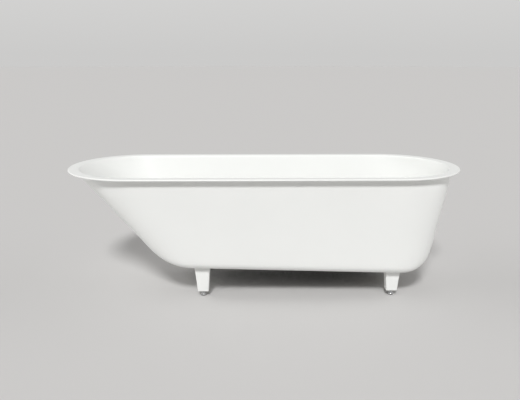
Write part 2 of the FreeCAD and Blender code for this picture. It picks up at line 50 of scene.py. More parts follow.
shell_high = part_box("tub_shell")[1]
RIM_HEIGHT = shell_high.z
RIM_REACH = shell_high.x
RIM_SIDE = shell_high.y
RIM_CURVE = 0.318
RIM_THICK = 0.008
RIM_EDGE_ROUND = 0.0036
RIM_COVE = 0.009
MOUTH_ROUND = 0.006

BASIN_DEPTH = 0.425
FLOOR_FALL = tan(radians(1.594))
HEAD_WALL = (0.858, radians(40.2), 0.209)
DRAIN_WALL = (0.8555, radians(13.3), 0.109)
SIDE_WALL = (0.347, radians(9.4), 0.038)
END_CURVE_TOP = 0.284
HEAD_CURVE_BOTTOM = 0.1565
DRAIN_CURVE_BOTTOM = 0.1555
ELLIPSE_WEIGHT = sqrt(0.5)
HEAD_WEIGHT = 1.5
DRAIN_WEIGHT = 1.3
HEAD_DRAW = 0.031
DRAIN_DRAW = 0.0135
FILL_DEPTH = 0.080
WALL_THICK = 0.014
FLOOR_THICK = 0.018
BASIN_INSIDE = BASIN_DEPTH - FLOOR_THICK

END_STEPS = 28
SIDE_STEPS = 8
ROUND_STEPS = 4
WALL_STEPS = 6
WALL_WIDENING = 1.5
BEND_STEPS = 12
BEND_BAND = 0.180
FLAT_FLOOR_INSET = 0.030
FLOOR_CUTS = 4
COLUMN_MARGIN = 0.0008
END_MARGIN = 0.0001

Outline = namedtuple(
    "Outline", "head drain side head_curve drain_curve head_weight drain_weight height slope")


def wall_at(wall, inset, floor_depth, depth):
    """Distance of a leaning wall from the middle, and how much its bottom bend draws it in."""
    reach, lean, bend = wall
    reach -= inset / cos(lean)
    bend -= inset
    bend_depth = floor_depth - bend
    bend_middle = reach - tan(lean) * bend_depth - bend / cos(lean)
    straight = reach - tan(lean) * depth
    if depth <= bend_depth + bend * sin(lean):
        return straight, 0.0
    drop = min(depth - bend_depth, bend)
    distance = bend_middle + sqrt(bend ** 2 - drop ** 2)
    return distance, straight - distance


def skin_outline(depth, inset, floor_depth, grow=0.0):
    """Outline of the basin's skin at a depth. Inset is the wall's thickness on the inside.

    Below the rim the corners of both ends fill out, and the ends' middles draw in.
    """
    head, head_drawn = wall_at(HEAD_WALL, inset, floor_depth, depth)
    drain, drain_drawn = wall_at(DRAIN_WALL, inset, floor_depth, depth)
    side, _ = wall_at(SIDE_WALL, inset, floor_depth, depth)
    below_rim = max(0.0, depth - RIM_THICK)
    share = below_rim / (BASIN_DEPTH - RIM_THICK)
    filled = 1 - exp(-below_rim / FILL_DEPTH)
    head_curve = END_CURVE_TOP + (HEAD_CURVE_BOTTOM - END_CURVE_TOP) * share - inset - head_drawn
    drain_curve = END_CURVE_TOP + (DRAIN_CURVE_BOTTOM - END_CURVE_TOP) * share - inset - drain_drawn
    return Outline(
        head - HEAD_DRAW * filled + grow, drain - DRAIN_DRAW * filled + grow, side + grow,
        head_curve + grow, drain_curve + grow,
        ELLIPSE_WEIGHT + (HEAD_WEIGHT - ELLIPSE_WEIGHT) * filled,
        ELLIPSE_WEIGHT + (DRAIN_WEIGHT - ELLIPSE_WEIGHT) * filled,
        RIM_HEIGHT - depth, FLOOR_FALL * share)


def rim_outline(inset, depth):
    """Outline of the flat rim, drawn in where its edge is rounded."""
    reach = RIM_REACH - inset
    curve = RIM_CURVE - inset
    return Outline(
        reach, reach, RIM_SIDE - inset, curve, curve, ELLIPSE_WEIGHT, ELLIPSE_WEIGHT, RIM_HEIGHT - depth, 0.0)


def skin_levels(top_depth, floor_depth, inset):
    """Outlines down a skin: widening steps on the walls, even turns round the bend, then the flat floor."""
    bend_top = floor_depth - BEND_BAND
    wall_shares = [(step / WALL_STEPS) ** WALL_WIDENING for step in range(1, WALL_STEPS)]
    bend_shares = [sin(pi / 2 * step / BEND_STEPS) for step in range(BEND_STEPS + 1)]
    depths = [top_depth + (bend_top - top_depth) * share for share in wall_shares]
    depths += [bend_top + BEND_BAND * share for share in bend_shares]
    outlines = [skin_outline(depth, inset, floor_depth) for depth in depths]
    return outlines + [skin_outline(floor_depth, inset, floor_depth, -FLAT_FLOOR_INSET)]


quarter_turns = [pi / 2 * step / ROUND_STEPS for step in range(ROUND_STEPS + 1)]
mouth = skin_outline(0.0, WALL_THICK, BASIN_INSIDE, MOUTH_ROUND)

outward = [rim_outline(RIM_EDGE_ROUND * (1 - sin(a)), RIM_EDGE_ROUND * (1 - cos(a))) for a in quarter_turns]
outward += [rim_outline(RIM_EDGE_ROUND * (1 - sin(a)), RIM_THICK - RIM_EDGE_ROUND * (1 - cos(a)))
            for a in reversed(quarter_turns)]
outward += [skin_outline(RIM_THICK + RIM_COVE * (1 - cos(a)), 0.0, BASIN_DEPTH, RIM_COVE * (1 - sin(a)))
            for a in quarter_turns]
outward += skin_levels(RIM_THICK + RIM_COVE, BASIN_DEPTH, 0.0)

inward = [skin_outline(MOUTH_ROUND * (1 - cos(a)), WALL_THICK, BASIN_INSIDE, MOUTH_ROUND * (1 - sin(a)))
          for a in quarter_turns[1:]]
inward += skin_levels(MOUTH_ROUND, BASIN_INSIDE, WALL_THICK)


def points_of_net():
    """The points of the mesh that is being edited, numbered."""
    net = bmesh.from_edit_mesh(bpy.context.edit_object.data)
    net.verts.ensure_lookup_table()
    net.verts.index_update()
    return net.verts


def pick(test):
    """Select the points for which the test holds, and return their numbers."""
    points = points_of_net()
    for point in points:
        point.select = test(point)
    bmesh.from_edit_mesh(bpy.context.edit_object.data).select_flush_mode()
    return {point.index for point in points if point.select}


def chosen():
    """Numbers of the selected points."""
    return {point.index for point in points_of_net() if point.select}


def half_ellipse(centre_x, curve, side, height, keep):
    """Add one end of an outline: a circle drawn out to its size, with the inner half deleted."""
    before = len(points_of_net())
    bpy.ops.mesh.primitive_circle_add(vertices=2 * END_STEPS, radius=1.0, location=(centre_x, 0, height))
    bpy.ops.transform.resize(value=(curve, side, 1), center_override=(centre_x, 0, height))
    pick(lambda point: point.index >= before and keep * (point.co.x - centre_x) < -curve / END_STEPS / 2)
    bpy.ops.mesh.delete(type="VERT")


def on_corner(turn, weight):
    """Place on a rounded corner, as shares of its length and of its width, for a turn from its tip."""
    along = (tan(turn) - 1 + 1 / cos(turn)) / sqrt(2)
    middle = 2 * along * weight
    whole = 1 + middle + along ** 2
    return (1 + middle) / whole, (middle + along ** 2) / whole


def fill_corners(ring, centre_x, way, curve, side, height, old_weight, new_weight):
    """Move the points of both corners of one end, column by column, until the corners are fuller."""
    for step in range(1, END_STEPS // 2):
        turn = pi * step / END_STEPS
        old_x, old_y = on_corner(turn, old_weight)
        new_x, new_y = on_corner(turn, new_weight)
        place = Vector((centre_x + way * curve * old_x, side * old_y))
        pick(lambda point: point.index in ring and (
            Vector((point.co.x, abs(point.co.y))) - place).length < COLUMN_MARGIN)
        fuller = (new_x / old_x, new_y / old_y, 1)
        bpy.ops.transform.resize(value=fuller, center_override=(centre_x, 0, height))


def pull_ring(old, new):
    """Extrude the selected ring and reshape it from its old outline to the new one, end by end."""
    bpy.ops.mesh.extrude_region_move(TRANSFORM_OT_translate={"value": (0, 0, new.height - old.height)})
    ring = chosen()
    old_head, old_drain = old.head_curve - old.head, old.drain - old.drain_curve
    new_head, new_drain = new.head_curve - new.head, new.drain - new.drain_curve
    across = new.side / old.side
    length = (new_drain - new_head) / (old_drain - old_head)
    points = points_of_net()
    head_end = {i for i in ring if points[i].co.x < old_head + END_MARGIN}
    drain_end = {i for i in ring if points[i].co.x > old_drain - END_MARGIN}
    for part, stretch, start, end in (
            (head_end, new.head_curve / old.head_curve, old_head, new_head),
            (drain_end, new.drain_curve / old.drain_curve, old_drain, new_drain),
            (ring - head_end - drain_end, length, old_head, new_head)):
        pick(lambda point: point.index in part)
        bpy.ops.transform.resize(value=(stretch, across, 1), center_override=(start, 0, new.height))
        bpy.ops.transform.translate(value=(end - start, 0, 0))
    for part, start, way, curve, old_weight, new_weight in (
            (head_end, new_head, -1, new.head_curve, old.head_weight, new.head_weight),
            (drain_end, new_drain, 1, new.drain_curve, old.drain_weight, new.drain_weight)):
        fill_corners(part, start, way, curve, new.side, new.height, old_weight, new_weight)
    pick(lambda point: point.index in ring)
    return ring


def pull_circles(centre, rings):
    """Extrude the selected circle from ring to ring, each a radius and a height, about an upright axis."""
    made = [chosen()]
    for (radius, height), (new_radius, new_height) in zip(rings, rings[1:]):
        bpy.ops.mesh.extrude_region_move(TRANSFORM_OT_translate={"value": (0, 0, new_height - height)})
        growth = new_radius / radius
        bpy.ops.transform.resize(value=(growth, growth, 1), center_override=(centre.x, centre.y, new_height))
        made.append(chosen())
    return made


def slope_ring(ring, slope, pivot):
    """Tilt one ring, so that it falls towards the drain end."""
    pick(lambda point: point.index in ring)
    bpy.ops.transform.rotate(value=-atan(slope), orient_axis="Y", center_override=pivot)


bpy.ops.object.select_all(action="DESELECT")
bpy.ops.object.add(type="MESH")
bath = bpy.context.object
bath.name = "bath_casting"
bpy.ops.object.mode_set(mode="EDIT")
bpy.context.tool_settings.mesh_select_mode = (True, False, False)
half_ellipse(mouth.head_curve - mouth.head, mouth.head_curve, mouth.side, mouth.height, -1)
half_ellipse(mouth.drain - mouth.drain_curve, mouth.drain_curve, mouth.side, mouth.height, 1)
for side in (-1, 1):
    pick(lambda point: abs(point.co.y - side * mouth.side) < END_MARGIN)
    bpy.ops.mesh.edge_face_add()
    bpy.ops.mesh.subdivide(number_cuts=SIDE_STEPS - 1)
bpy.ops.object.mode_set(mode="OBJECT")
bpy.ops.object.mode_set(mode="EDIT")
first_ring = pick(lambda point: True)

rings = []
for path in (outward, inward):
    pick(lambda point: point.index in first_ring)
    outline = mouth
    for next_outline in path:
        rings.append((pull_ring(outline, next_outline), next_outline))
        outline = next_outline
for ring, outline in rings:
    if outline.slope:
        slope_ring(ring, outline.slope, (0, 0, outline.height))
underside_ring = rings[len(outward) - 1][0]
floor_ring, floor_outline = rings[-1]

# The waste hole has a level seat above and a level boss below, since the floor slopes. Both are part of
# the casting, so their rings are bridged to the floor and to the underside.

seal_low, seal_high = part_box("drain_flange_seal")
gasket_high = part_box("drain_gasket")[1]
waste = Vector(((seal_low.x + seal_high.x) / 2, (seal_low.y + seal_high.y) / 2, seal_low.z))
SEAT_RADIUS = 0.039
BOSS_RADIUS = 0.045
HOLE_RADIUS = 0.029
CAST_ROUND = 0.0012
BRIDGE_LIFT = 0.1
ROW_MARGIN = 0.00625

floor_slope = floor_outline.slope
under_level = RIM_HEIGHT - BASIN_DEPTH
floor_level = under_level + FLOOR_THICK
floor_z = floor_level - floor_slope * waste.x
under_z = under_level - FLOOR_FALL * waste.x
half_round = CAST_ROUND * (1 - sqrt(0.5))
waste_rings = [
    (SEAT_RADIUS + CAST_ROUND, floor_z), (SEAT_RADIUS + half_round, floor_z - half_round),
    (SEAT_RADIUS, floor_z - CAST_ROUND), (SEAT_RADIUS, seal_low.z + CAST_ROUND / 2),
    (SEAT_RADIUS - CAST_ROUND / 2, seal_low.z), (HOLE_RADIUS + CAST_ROUND, seal_low.z),
    (HOLE_RADIUS + half_round, seal_low.z - half_round), (HOLE_RADIUS, seal_low.z - CAST_ROUND),
    (HOLE_RADIUS, gasket_high.z + CAST_ROUND), (HOLE_RADIUS + half_round, gasket_high.z + half_round),
    (HOLE_RADIUS + CAST_ROUND, gasket_high.z), (BOSS_RADIUS - CAST_ROUND, gasket_high.z),
    (BOSS_RADIUS - half_round, gasket_high.z + half_round), (BOSS_RADIUS, gasket_high.z + CAST_ROUND),
    (BOSS_RADIUS, under_z - CAST_ROUND / 2), (BOSS_RADIUS + CAST_ROUND, under_z)]
bpy.ops.mesh.select_all(action="DESELECT")
bpy.ops.mesh.primitive_circle_add(
    vertices=2 * (END_STEPS + SIDE_STEPS), radius=waste_rings[0][0], location=(waste.x, waste.y, floor_z))
circles = pull_circles(waste, waste_rings)
for ring in circles[:3]:
    slope_ring(ring, floor_slope, (waste.x, waste.y, floor_z))
for ring in circles[-2:]:
    slope_ring(ring, FLOOR_FALL, (waste.x, waste.y, under_z))


def bridge_flat(ring, circle, slope, level, lift):
    """Bridge a ring and a circle of one plane, with rows between.

    Flat bridges can run the wrong way round, so the circle is lifted out of the plane first and comes back.
    """
    pick(lambda point: point.index in circle)
    bpy.ops.transform.translate(value=(0, 0, lift))
    before = len(points_of_net())
    pick(lambda point: point.index in ring or point.index in circle)
    bpy.ops.mesh.bridge_edge_loops(type="SINGLE", number_cuts=FLOOR_CUTS, interpolation="LINEAR")
    for row in range(1, FLOOR_CUTS + 1):
        raised = lift * row / (FLOOR_CUTS + 1)
        pick(lambda point: point.index >= before
             and abs(point.co.z + slope * point.co.x - level - raised) < ROW_MARGIN)
        bpy.ops.transform.translate(value=(0, 0, -raised))
    pick(lambda point: point.index in circle)
    bpy.ops.transform.translate(value=(0, 0, -lift))


bridge_flat(floor_ring, circles[0], floor_slope, floor_level, BRIDGE_LIFT)
bridge_flat(underside_ring, circles[-1], FLOOR_FALL, under_level, -BRIDGE_LIFT)
bpy.ops.mesh.select_all(action="SELECT")
bpy.ops.mesh.normals_make_consistent(inside=False)
bpy.ops.object.mode_set(mode="OBJECT")


def apply_modifier(piece, kind, **settings):
    """Add one modifier to a piece and apply it."""
    bpy.context.view_layer.objects.active = piece
    modifier = piece.modifiers.new(kind.title(), kind)
    for setting, value in settings.items():
        setattr(modifier, setting, value)
    bpy.ops.object.modifier_apply(modifier=modifier.name)


apply_modifier(bath, "SUBSURF", levels=2)
bpy.ops.object.shade_smooth()


class Shade:
    """One output of a material's nodes. Sums and products of it are Math nodes of the same material."""

    def __init__(self, tree, socket=None):
        self.tree = tree
        self.socket = socket

    def node(self, kind, sockets=None, output=0, **settings):
        """Any node: its settings first, then the values or links of its sockets."""
        made = self.tree.nodes.new(kind)
        for name, value in settings.items():
            setattr(made, name, value)
        for name, value in (sockets or {}).items():
            if isinstance(value, Shade):
                self.tree.links.new(value.socket, made.inputs[name])
            else:
                made.inputs[name].default_value = value
        return Shade(self.tree, made.outputs[output])

    def maths(self, operation, first, second, clamp=False):
        return self.node("ShaderNodeMath", {0: first, 1: second}, operation=operation, use_clamp=clamp)

    def __add__(self, other):
        return self.maths("ADD", self, other)

    def __sub__(self, other):
        return self.maths("SUBTRACT", self, other)

    def __mul__(self, other):
        return self.maths("MULTIPLY", self, other)

    def __truediv__(self, other):
        return self.maths("DIVIDE", self, other)

    def __rsub__(self, other):
        return self.maths("SUBTRACT", other, self)

    __radd__ = __add__
    __rmul__ = __mul__

    def clamped(self):
        return self.maths("ADD", self, 0.0, clamp=True)

    def noise(self, scale, detail=2.0):
        """Noise over the object, from 0 to 1, with its grain a fraction 1 / scale of a metre."""
        place = self.node("ShaderNodeTexCoord", output="Object")
        return self.node("ShaderNodeTexNoise", {"Vector": place, "Scale": scale, "Detail": detail})

    def sharpened(self, gain, cut):
        """More contrast: the gain is how much, and a greater cut leaves more at 0."""
        return (self * gain - cut).clamped()

    def blend(self, one, other, share):
        """A colour between two colours: inputs 6 and 7 and output 2 of a Mix node are its colours."""
        return self.node("ShaderNodeMix", {"Factor": share, 6: one, 7: other}, output=2, data_type="RGBA")

    def bump(self, height, distance, normal=None):
        sockets = {"Height": height, "Distance": distance}
        if normal:
            sockets["Normal"] = normal
        return self.node("ShaderNodeBump", sockets)


def start_material(name):
    """A new material with only a Principled shader and its output."""
    material = bpy.data.materials.new(name)
    material.use_nodes = True
    return material, Shade(material.node_tree), material.node_tree.nodes["Principled BSDF"]


def feed(shade, shader, **links):
    """Link what changes over the surface to the shader's sockets."""
    for name, value in links.items():
        shade.tree.links.new(value.socket, shader.inputs[name.replace("_", " ")])


WHITE_LIGHT = (0.846, 0.854, 0.838, 1)
WHITE_DULL = (0.818, 0.826, 0.810, 1)
CAST_GREY = (0.79, 0.785, 0.765, 1)
BARE_FADE = 0.004
BARE_REACH = 0.001
SKIN_GRAIN = 0.15
STONE_GRAIN = 2.0
SKIN_ROUGHNESS = 0.42
STREAK_ROUGHNESS = 0.08
STONE_ROUGHNESS = 0.30
SKIN_COAT = 0.08


def composite(name, rough_below):
    """White cast composite: a satin skin, and bare matt stone where it lies below a sloping plane."""
    material, shade, shader = start_material(name)
    place = shade.node("ShaderNodeTexCoord", output="Object")
    x = shade.node("ShaderNodeSeparateXYZ", {"Vector": place}, output="X")
    z = shade.node("ShaderNodeSeparateXYZ", {"Vector": place}, output="Z")
    above_plane = (z + x * FLOOR_FALL - rough_below) / BARE_FADE
    bare = (1 - above_plane).clamped()
    clouds = shade.noise(3.0, detail=4.0)
    grit = shade.noise(900.0)
    streaks = shade.noise(14.0, detail=6.0)
    satin = shade.blend(WHITE_DULL, WHITE_LIGHT, clouds.sharpened(gain=1.6, cut=0.3))
    stone = shade.blend(CAST_GREY, WHITE_DULL, grit.sharpened(gain=1.4, cut=0.2))
    slow = shade.bump(clouds, distance=0.0025)
    fine = shade.bump(grit * (SKIN_GRAIN + bare * STONE_GRAIN), distance=0.00008, normal=slow)
    feed(shade, shader,
         Base_Color=shade.blend(satin, stone, bare),
         Roughness=SKIN_ROUGHNESS + streaks * STREAK_ROUGHNESS + bare * STONE_ROUGHNESS,
         Coat_Weight=SKIN_COAT * (1 - bare),
         Normal=fine)
    shader.inputs["Coat Roughness"].default_value = 0.12
    return material


def fit(piece, material, body, slot, *nodes):
    """Apply a finished piece's place to its mesh, give it its material and fix it to what carries it."""
    bpy.ops.object.select_all(action="DESELECT")
    piece.select_set(True)
    bpy.context.view_layer.objects.active = piece
    bpy.ops.object.transform_apply(location=True, rotation=True, scale=True)
    piece.data.materials.clear()
    piece.data.materials.append(material)
    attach(piece, body)
    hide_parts(*nodes)


BATH_WHITE = composite("white_cast_composite", under_level + BARE_REACH)
fit(bath, BATH_WHITE, "bath", "composite", "tub_shell")

# Four feet, cast in the same composite as tapered blocks that lean out on their two outer sides. Each is cut
# to the slope of the bath's underside, and has two deep pockets for its screws and a socket for its glide.

SOLE_X = 0.048
SOLE_Y = 0.047
FOOT_TAPER_HEIGHT = 0.111
FOOT_BLOCK_HEIGHT = 0.150
OUTER_SPREAD = 0.012
INNER_SPREAD = 0.007
FOOT_CORNER_ROUND = 0.005
SOLE_ROUND = 0.0025
FOOT_TOP_ROUND = 0.0008
SCREW_OFFSET = 0.0115
SCREW_GRIP = 0.025
POCKET_RADIUS = 0.0075
GLIDE_SOCKET_RADIUS = 0.006
GLIDE_SOCKET_DEPTH = 0.020
SAME_PLACE = 0.00005

PLACES = [("head_front", -1, -1), ("head_rear", -1, 1), ("drain_front", 1, -1), ("drain_rear", 1, 1)]


def round_edges(test, width, steps):
    """In edit mode, bevel the edges for which the test of their two ends holds."""
    bpy.context.tool_settings.mesh_select_mode = (False, True, False)
    bpy.ops.mesh.select_all(action="DESELECT")
    net = bmesh.from_edit_mesh(bpy.context.edit_object.data)
    for edge in net.edges:
        if test(edge.verts[0].co, edge.verts[1].co):
            edge.select_set(True)
    bpy.ops.mesh.bevel(offset=width, segments=steps, affect="EDGES", clamp_overlap=True)


def bore(piece, radius, low, high, x, y):
    """Drill an upright round hole in a piece."""
    bpy.ops.mesh.primitive_cylinder_add(
        vertices=40, radius=radius, depth=high - low, location=(x, y, (low + high) / 2))
    drill = bpy.context.object
    apply_modifier(piece, "BOOLEAN", object=drill, operation="DIFFERENCE", solver="EXACT")
    bpy.data.objects.remove(drill)


def smooth_flat(piece, degrees=35):
    """Shade round surfaces smooth and keep flat faces flat."""
    bpy.ops.object.select_all(action="DESELECT")
    piece.select_set(True)
    bpy.context.view_layer.objects.active = piece
    bpy.ops.object.shade_smooth_by_angle(angle=radians(degrees))
    apply_modifier(piece, "WEIGHTED_NORMAL", keep_sharp=True, weight=100)


FOOT_WHITE = composite("white_cast_foot", -1.0)
for place, out_x, out_y in PLACES:
    glide_low, glide_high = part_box("glide_" + place)
    x, y = (glide_low.x + glide_high.x) / 2, (glide_low.y + glide_high.y) / 2
    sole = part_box("glide_inserts")[0].z
    rise = FOOT_BLOCK_HEIGHT / FOOT_TAPER_HEIGHT
    spread = (OUTER_SPREAD + INNER_SPREAD) * rise
    shift = (OUTER_SPREAD - INNER_SPREAD) * rise / 2
    top = sole + FOOT_BLOCK_HEIGHT
    underside = under_level - FLOOR_FALL * x

    bpy.ops.object.select_all(action="DESELECT")
    bpy.ops.mesh.primitive_cube_add(size=1, location=(0, 0, 0))
    foot = bpy.context.object
    foot.name = "cast_foot_" + place
    bpy.ops.object.mode_set(mode="EDIT")
    bpy.ops.transform.resize(value=(SOLE_X, SOLE_Y, FOOT_BLOCK_HEIGHT))
    bpy.ops.transform.translate(value=(x, y, sole + FOOT_BLOCK_HEIGHT / 2))
    bpy.context.tool_settings.mesh_select_mode = (True, False, False)
    pick(lambda point: point.co.z > top - SAME_PLACE)
    bpy.ops.transform.resize(value=(1 + spread / SOLE_X, 1 + spread / SOLE_Y, 1), center_override=(x, y, top))
    bpy.ops.transform.translate(value=(out_x * shift, out_y * shift, 0))
    round_edges(lambda one, other: abs(one.z - other.z) > FOOT_TAPER_HEIGHT, FOOT_CORNER_ROUND, steps=6)
    round_edges(lambda one, other: max(one.z, other.z) < sole + SAME_PLACE, SOLE_ROUND, steps=5)
    bpy.ops.mesh.select_all(action="SELECT")
    bpy.ops.mesh.bisect(
        plane_co=(x, y, underside), plane_no=(FLOOR_FALL, 0, 1), clear_outer=True, use_fill=True)
    round_edges(
        lambda one, other: all(
            abs(end.z + FLOOR_FALL * (end.x - x) - underside) < SAME_PLACE for end in (one, other)),
        FOOT_TOP_ROUND, steps=2)
    bpy.ops.object.mode_set(mode="OBJECT")
    for step in (-SCREW_OFFSET, SCREW_OFFSET):
        shoulder = underside - FLOOR_FALL * step - SCREW_GRIP
        bore(foot, POCKET_RADIUS, sole - SOLE_ROUND, shoulder, x + step, y + step)
    bore(foot, GLIDE_SOCKET_RADIUS, sole - SOLE_ROUND, sole + GLIDE_SOCKET_DEPTH, x, y)
    smooth_flat(foot)
    fit(foot, FOOT_WHITE, "bath", "composite", "foot_" + place)

# Glides: a zinc-plated steel stem with a rolled M8 thread, a hexagon for the spanner and a domed cup, with a
# black rubber pad pressed into the cup. One glide is made on its own axis, and each foot gets a copy.

CUP_RADIUS = 0.0125
CUP_LIP = 0.0004
CUP_DOME = 0.0045
CUP_DOME_STEPS = 7
HEXAGON_ACROSS = 0.010
HEXAGON_HEIGHT = 0.004
HEXAGON_BEVEL = 0.0005
STEM_RADIUS = 0.004
THREAD_PITCH = 0.00125
THREAD_DEPTH = 0.0007
THREAD_TURNS = 26
THREAD_STEPS = 8
THREAD_SIDES = 18
CUP_HEIGHT = 0.006
CUP_NECK = [(0.0062, 0.0), (0.0058, 0.0004), (0.0045, 0.0004)]
THREAD_RUN_OUT = 0.001
EDGE_ANGLE = radians(30)


def start_circle(name, sides, radius, height, x=0.0, y=0.0):
    """A new piece in edit mode, with one selected circle."""
    bpy.ops.object.select_all(action="DESELECT")
    bpy.ops.mesh.primitive_circle_add(vertices=sides, radius=radius, location=(x, y, height))
    piece = bpy.context.object
    piece.name = name
    bpy.ops.object.transform_apply(location=True)
    bpy.ops.object.mode_set(mode="EDIT")
    bpy.context.tool_settings.mesh_select_mode = (True, False, False)
    return piece


def turned(name, sides, rings, x=0.0, y=0.0, hollow=False, round_width=0.0):
    """A turned piece, from ring to ring. A hollow one ends where it began; others are closed at both ends."""
    piece = start_circle(name, sides, rings[0][0], rings[0][1], x, y)
    bpy.ops.mesh.select_all(action="SELECT")
    circles = pull_circles(Vector((x, y, 0)), rings)
    if hollow:
        pick(lambda point: point.index in circles[0] or point.index in circles[-1])
        bpy.ops.mesh.bridge_edge_loops(type="SINGLE")
    else:
        for circle in (circles[0], circles[-1]):
            pick(lambda point: point.index in circle)
            bpy.ops.mesh.edge_face_add()
    bpy.ops.mesh.select_all(action="SELECT")
    bpy.ops.mesh.normals_make_consistent(inside=False)
    bpy.ops.object.mode_set(mode="OBJECT")
    if round_width:
        apply_modifier(
            piece, "BEVEL", width=round_width, segments=3, limit_method="ANGLE", angle_limit=EDGE_ANGLE)
    return piece


def join_pieces(name, pieces):
    """Several solids of one real piece become one mesh."""
    bpy.ops.object.select_all(action="DESELECT")
    for piece in pieces:
        piece.select_set(True)
    bpy.context.view_layer.objects.active = pieces[0]
    bpy.ops.object.join()
    pieces[0].name = name
    return pieces[0]


glide_low, glide_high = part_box("glide_head_front")
pad_low, pad_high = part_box("glide_pad_head_front")
cup_bottom = glide_low.z
cup_top = cup_bottom + CUP_HEIGHT
hexagon_top = cup_top + HEXAGON_HEIGHT
dome = [(CUP_RADIUS - CUP_DOME * (1 - cos(a)), cup_top - CUP_DOME * (1 - sin(a)))
        for a in [pi / 2 * step / CUP_DOME_STEPS for step in range(CUP_DOME_STEPS + 1)]]
cup = turned("cup", 64, [
    (CUP_RADIUS - 2 * CUP_LIP, cup_bottom), (CUP_RADIUS - CUP_LIP / 2, cup_bottom + CUP_LIP / 4),
    (CUP_RADIUS, cup_bottom + CUP_LIP), (CUP_RADIUS, cup_bottom + 2 * CUP_LIP)] + dome[1:] + [
    (radius, cup_top + up) for radius, up in CUP_NECK])
bpy.ops.mesh.primitive_cylinder_add(
    vertices=6, radius=HEXAGON_ACROSS / sqrt(3), depth=HEXAGON_HEIGHT,
    location=(0, 0, hexagon_top - HEXAGON_HEIGHT / 2))
hexagon = bpy.context.object
bpy.ops.object.mode_set(mode="EDIT")
round_edges(lambda one, other: True, HEXAGON_BEVEL, steps=2)
bpy.ops.object.mode_set(mode="OBJECT")

thread_start = hexagon_top - THREAD_PITCH
thread = start_circle("thread", THREAD_SIDES, STEM_RADIUS - THREAD_DEPTH / 2, thread_start, THREAD_DEPTH / 2)
for step in range(THREAD_TURNS * THREAD_STEPS):
    bpy.ops.mesh.extrude_region_move(TRANSFORM_OT_translate={"value": (0, 0, THREAD_PITCH / THREAD_STEPS)})
    bpy.ops.transform.rotate(value=-2 * pi / THREAD_STEPS, orient_axis="Z", center_override=(0, 0, 0))
plain_stem = glide_high.z - hexagon_top + THREAD_PITCH * (1 - THREAD_TURNS) - THREAD_RUN_OUT
for rise in (THREAD_RUN_OUT, plain_stem):
    bpy.ops.mesh.extrude_region_move(TRANSFORM_OT_translate={"value": (0, 0, rise)})
bpy.ops.mesh.edge_face_add()
pick(lambda point: point.co.z < thread_start + SAME_PLACE)
bpy.ops.mesh.edge_face_add()
bpy.ops.mesh.select_all(action="SELECT")
bpy.ops.mesh.normals_make_consistent(inside=False)
bpy.ops.object.mode_set(mode="OBJECT")
master_glide = join_pieces("master_glide", [cup, hexagon, thread])
smooth_flat(master_glide, degrees=50)

PAD_GROOVE = 0.0003
PAD_SIDE = [(0.001, 0.0), (0.0003, 0.0004), (0.0, 0.001), (0.0, 0.0018), (PAD_GROOVE, 0.0020),
            (PAD_GROOVE, 0.0024), (0.0, 0.0026)]
PAD_TOP = [(0.0, 0.0001), (0.0004, 0.0)]
pad_radius = (pad_high.x - pad_low.x) / 2
master_pad = turned("master_pad", 64, [
    (pad_radius - inset, pad_low.z + up) for inset, up in PAD_SIDE] + [
    (pad_radius - inset, cup_bottom - down) for inset, down in PAD_TOP])
smooth_flat(master_pad)


def plated(name, light, dull, shine, scratch_scale=260.0):
    """Plated metal: a near-even mirror with faint smears and hairline marks from polishing."""
    material, shade, shader = start_material(name)
    smears = shade.noise(38.0, detail=5.0)
    hairs = shade.noise(scratch_scale, detail=8.0)
    feed(shade, shader,
         Base_Color=shade.blend(light, dull, smears.sharpened(gain=1.8, cut=0.4)),
         Roughness=shine + smears * 0.10 + hairs * 0.05,
         Normal=shade.bump(hairs, distance=0.00002))
    shader.inputs["Metallic"].default_value = 1.0
    return material


def rubber_like(name, dark, dusty):
    """Matt moulded rubber with a fine grain and a little dust."""
    material, shade, shader = start_material(name)
    grain = shade.noise(2200.0)
    dust = shade.noise(90.0, detail=4.0)
    feed(shade, shader,
         Base_Color=shade.blend(dark, dusty, dust.sharpened(gain=1.6, cut=0.5)),
         Roughness=0.62 + grain * 0.2,
         Normal=shade.bump(grain, distance=0.00004))
    return material


ZINC = plated("bright_zinc", (0.78, 0.79, 0.80, 1), (0.66, 0.67, 0.69, 1), 0.12, scratch_scale=900.0)
RUBBER = rubber_like("black_rubber", (0.018, 0.018, 0.019, 1), (0.055, 0.054, 0.052, 1))
for place, _, _ in PLACES:
    low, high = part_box("glide_" + place)
    for master, kind, material, slot in (
            (master_glide, "glide_", ZINC, "chrome"), (master_pad, "glide_pad_", RUBBER, "rubber")):
        piece = master.copy()
        piece.data = master.data.copy()
        piece.name = "made_" + kind + place
        bpy.context.collection.objects.link(piece)
        piece.location = ((low.x + high.x) / 2, (low.y + high.y) / 2, 0)
        fit(piece, material, "glide_" + place, slot, kind + place)
for master in (master_glide, master_pad):
    bpy.data.objects.remove(master)

# What fastens the feet and the glides: socket screws and washers of stainless steel in the pockets, and
# threaded brass inserts bonded in the stone. They are machined, and keep the marks of the tool.

TOOL_LINES = 42000.0


def machined(name, light, dull, shine, mark_depth):
    """Turned metal, with the fine level lines that the tool leaves."""
    material, shade, shader = start_material(name)
    place = shade.node("ShaderNodeTexCoord", output="Object")
    height = shade.node("ShaderNodeSeparateXYZ", {"Vector": place}, output="Z")
    lines = shade.maths("SINE", height * TOOL_LINES, 0.0) * 0.5 + 0.5
    tarnish = shade.noise(120.0, detail=5.0)
    feed(shade, shader,
         Base_Color=shade.blend(light, dull, tarnish.sharpened(gain=2.0, cut=0.5)),
         Roughness=shine + tarnish * 0.14 + lines * 0.05,
         Normal=shade.bump(lines + tarnish, mark_depth))
    shader.inputs["Metallic"].default_value = 1.0
    return material


